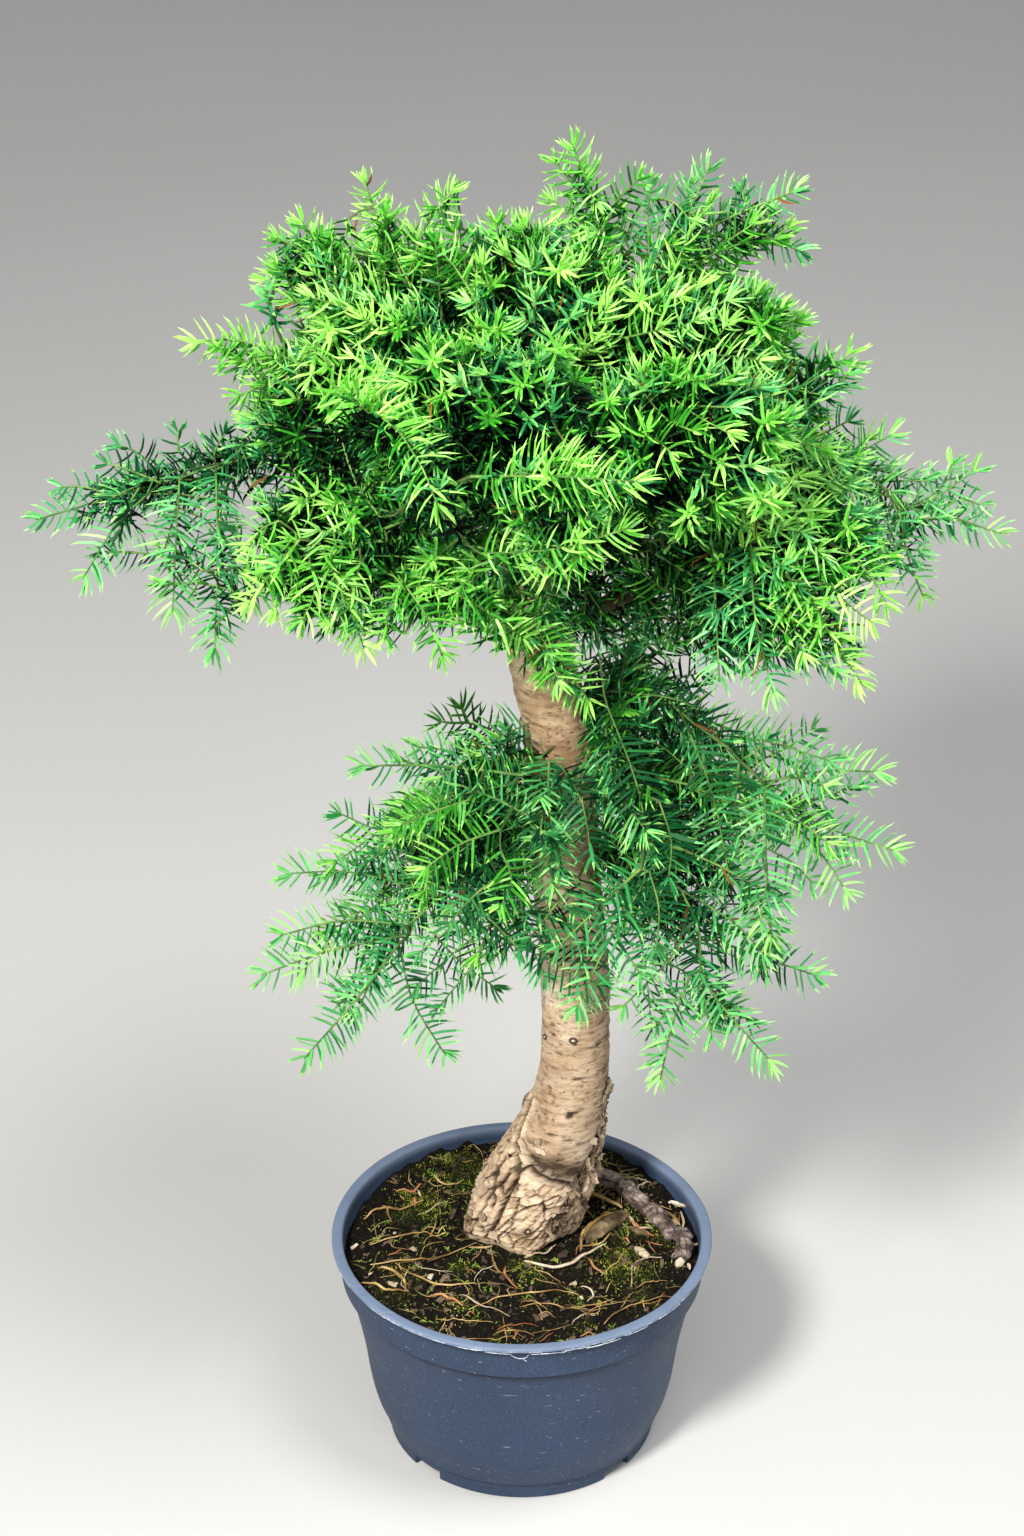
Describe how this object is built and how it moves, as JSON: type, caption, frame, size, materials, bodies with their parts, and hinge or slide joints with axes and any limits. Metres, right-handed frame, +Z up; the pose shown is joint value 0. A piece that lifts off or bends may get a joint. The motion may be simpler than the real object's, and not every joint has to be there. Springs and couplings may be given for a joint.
{
  "type": "bonsai",
  "caption": "Hoop pine bonsai with a leaning trunk, a wide crown and drooping lower shoots, in a round tapered nursery pot.",
  "frame": {"origin": "centre of the pot's flat underside", "axes": "+Z up along the pot's axis, -Y towards the plant's front, +X to the plant's right as seen from the front"},
  "size_m": [0.4347, 0.3002, 0.6955],
  "materials": {
    "pot": "satin moulded",
    "soil": "rough crumb with moss and dry strands",
    "trunk": "ringed bark",
    "root": "weathered",
    "bough": "bark",
    "foliage_crown": "needles",
    "foliage_lower": "needles"
  },
  "bodies": {
    "root": {"bough_arch": "bough", "bough_back": "bough", "bough_front": "bough", "bough_front_left": "bough", "bough_front_right": "bough", "bough_left": "bough", "bough_low_left": "bough", "bough_low_left_rear": "bough", "bough_low_right": "bough", "bough_low_right_rear": "bough", "bough_right": "bough", "bough_right_low": "bough", "crown_back": "foliage_crown", "crown_back_left": "foliage_crown", "crown_back_right": "foliage_crown", "crown_front": "foliage_crown", "crown_front_left": "foliage_crown", "crown_front_right": "foliage_crown", "crown_left": "foliage_crown", "crown_low_front": "foliage_crown", "crown_low_right": "foliage_crown", "crown_right": "foliage_crown", "crown_top": "foliage_crown", "crown_top_left": "foliage_crown", "crown_top_right": "foliage_crown", "front_spray_left": "foliage_crown", "front_spray_lower": "foliage_crown", "front_spray_upper": "foliage_crown", "hanging_right": "foliage_crown", "left_hanging_inner": "foliage_crown", "left_hanging_outer": "foliage_crown", "left_outlier": "foliage_crown", "left_spike": "foliage_crown", "low_front": "foliage_lower", "low_left_bottom": "foliage_lower", "low_left_core": "foliage_lower", "low_left_mid": "foliage_lower", "low_left_outer": "foliage_lower", "low_left_rear": "foliage_lower", "low_left_upper": "foliage_lower", "low_right_arch": "foliage_lower", "low_right_bottom": "foliage_lower", "low_right_core": "foliage_lower", "low_right_curtain": "foliage_lower", "low_right_hanging": "foliage_lower", "low_right_low": "foliage_lower", "low_right_outer": "foliage_lower", "low_right_rear": "foliage_lower", "low_right_upper": "foliage_lower", "pot": "pot", "right_outlier": "foliage_crown", "right_spray": "foliage_crown", "right_tip": "foliage_crown", "soil": "soil", "surface_root": "root", "top_left_sprigs": "foliage_crown", "top_right_sprays": "foliage_crown", "top_sprig": "foliage_crown", "trunk": "trunk"}
  },
  "joints": []
}
